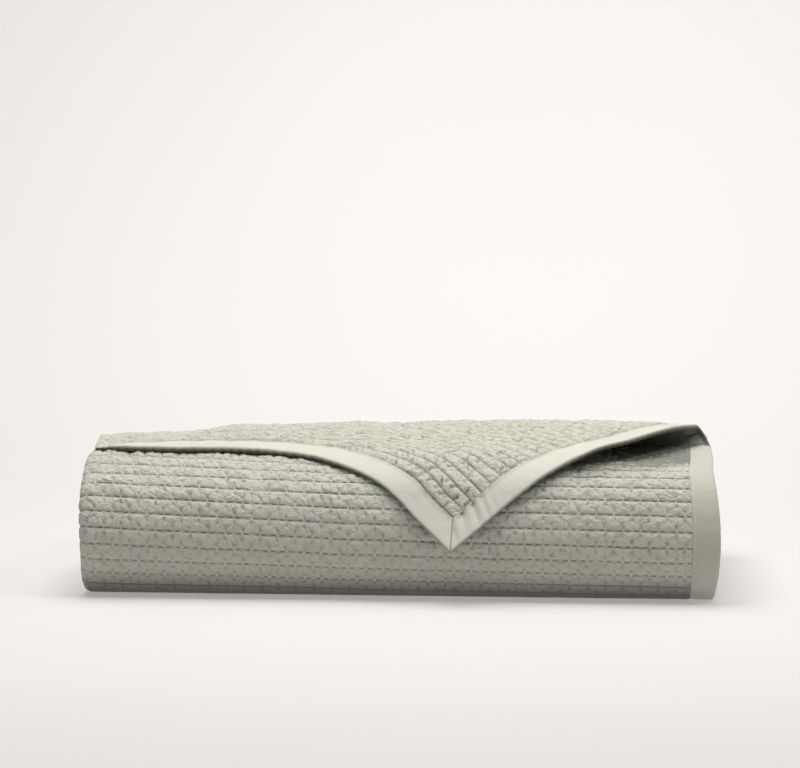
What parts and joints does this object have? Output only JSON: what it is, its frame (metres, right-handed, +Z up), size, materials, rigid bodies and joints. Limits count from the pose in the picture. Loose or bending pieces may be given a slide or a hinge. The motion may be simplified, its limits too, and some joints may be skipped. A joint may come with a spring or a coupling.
{
  "type": "folded quilt",
  "caption": "Quilted bed cover folded into a flat, thick stack with a rounded front, the bound corner of its top layer turned back to a point over the front.",
  "frame": {"origin": "bottom centre of the bounding box, on the surface the quilt lies on", "axes": "+X along the front to the right end, where the open edges lie; +Y from the rounded front to the back; +Z up"},
  "size_m": [0.5952, 0.451, 0.1516],
  "materials": {
    "quilted_cloth": "matt sage green cotton, quilted in close rows",
    "binding": "smooth sage green cotton with a faint sheen"
  },
  "bodies": {
    "root": {"quilt_cloth": "quilted_cloth", "outer_side_binding": "binding", "inner_side_binding": "binding", "flap_end_binding": "binding", "top_end_binding": "binding", "inside_end_binding": "binding"}
  },
  "joints": []
}
